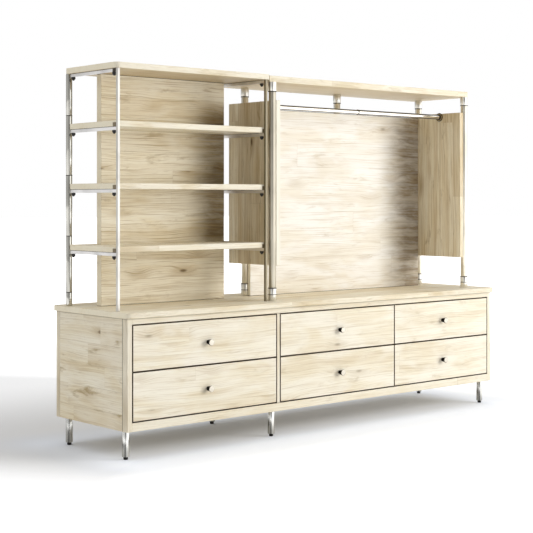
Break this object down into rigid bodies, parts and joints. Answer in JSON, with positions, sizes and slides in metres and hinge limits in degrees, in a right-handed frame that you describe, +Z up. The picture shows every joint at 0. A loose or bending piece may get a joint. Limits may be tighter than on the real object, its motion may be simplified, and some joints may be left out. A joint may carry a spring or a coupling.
{
  "type": "sideboard with shelves",
  "caption": "Long drawer sideboard on short legs, with an open shelf unit and a clothes-hanging unit standing on its top.",
  "frame": {"origin": "on the floor under the middle of the whole piece, knobs included", "axes": "+X to the right along the front, +Y to the rear, +Z up; the drawers open towards -Y"},
  "size_m": [2.432, 0.6, 1.7],
  "materials": {
    "oak": "pale limed oak, matt lacquer",
    "drawer_box_wood": "plain birch, clear lacquer",
    "nickel": "polished nickel plate on steel tube",
    "runner_steel": "bright zinc plate",
    "black_fitting": "black moulded plastic and blackened screws"
  },
  "bodies": {
    "case": {"front_stiles": "oak", "rear_stiles": "oak", "left_side": "oak", "right_side": "oak", "top_rail": "oak", "bottom_rail": "oak", "centre_stile": "oak", "base_bottom": "oak", "base_back": "oak", "centre_partition": "oak", "right_partition": "oak", "base_top": "oak", "legs": "nickel", "glides": "black_fitting", "cabinet_runners": "runner_steel", "front_shelf_posts": "nickel", "rear_shelf_posts": "nickel", "crossbars": "nickel", "hanging_posts": "nickel", "hanging_collars": "nickel", "side_standoffs": "nickel", "rod_outer": "nickel", "rod_inner": "nickel", "lower_shelf": "oak", "middle_shelf": "oak", "upper_shelf": "oak", "shelf_top": "oak", "shelf_back_panels": "oak", "hanging_side_left": "oak", "hanging_side_right": "oak", "hanging_back": "oak", "hanging_top": "oak", "thumb_screws": "black_fitting", "corner_clips": "black_fitting", "rod_flanges": "black_fitting"},
    "drawer_left_lower": {"drawer_left_lower_front": "oak", "drawer_left_lower_box": "drawer_box_wood", "drawer_left_lower_runners": "runner_steel", "drawer_left_lower_knob": "nickel"},
    "drawer_left_upper": {"drawer_left_upper_front": "oak", "drawer_left_upper_box": "drawer_box_wood", "drawer_left_upper_runners": "runner_steel", "drawer_left_upper_knob": "nickel"},
    "drawer_middle_lower": {"drawer_middle_lower_front": "oak", "drawer_middle_lower_box": "drawer_box_wood", "drawer_middle_lower_runners": "runner_steel", "drawer_middle_lower_knob": "nickel"},
    "drawer_middle_upper": {"drawer_middle_upper_front": "oak", "drawer_middle_upper_box": "drawer_box_wood", "drawer_middle_upper_runners": "runner_steel", "drawer_middle_upper_knob": "nickel"},
    "drawer_right_lower": {"drawer_right_lower_front": "oak", "drawer_right_lower_box": "drawer_box_wood", "drawer_right_lower_runners": "runner_steel", "drawer_right_lower_knob": "nickel"},
    "drawer_right_upper": {"drawer_right_upper_front": "oak", "drawer_right_upper_box": "drawer_box_wood", "drawer_right_upper_runners": "runner_steel", "drawer_right_upper_knob": "nickel"}
  },
  "joints": [
    {"name": "drawer_left_lower_slide", "type": "slide", "parent": "case", "child": "drawer_left_lower", "axis": [0, -1, 0], "range_m": [0, 0.36]},
    {"name": "drawer_left_upper_slide", "type": "slide", "parent": "case", "child": "drawer_left_upper", "axis": [0, -1, 0], "range_m": [0, 0.36]},
    {"name": "drawer_middle_lower_slide", "type": "slide", "parent": "case", "child": "drawer_middle_lower", "axis": [0, -1, 0], "range_m": [0, 0.36]},
    {"name": "drawer_middle_upper_slide", "type": "slide", "parent": "case", "child": "drawer_middle_upper", "axis": [0, -1, 0], "range_m": [0, 0.36]},
    {"name": "drawer_right_lower_slide", "type": "slide", "parent": "case", "child": "drawer_right_lower", "axis": [0, -1, 0], "range_m": [0, 0.36]},
    {"name": "drawer_right_upper_slide", "type": "slide", "parent": "case", "child": "drawer_right_upper", "axis": [0, -1, 0], "range_m": [0, 0.36]}
  ]
}
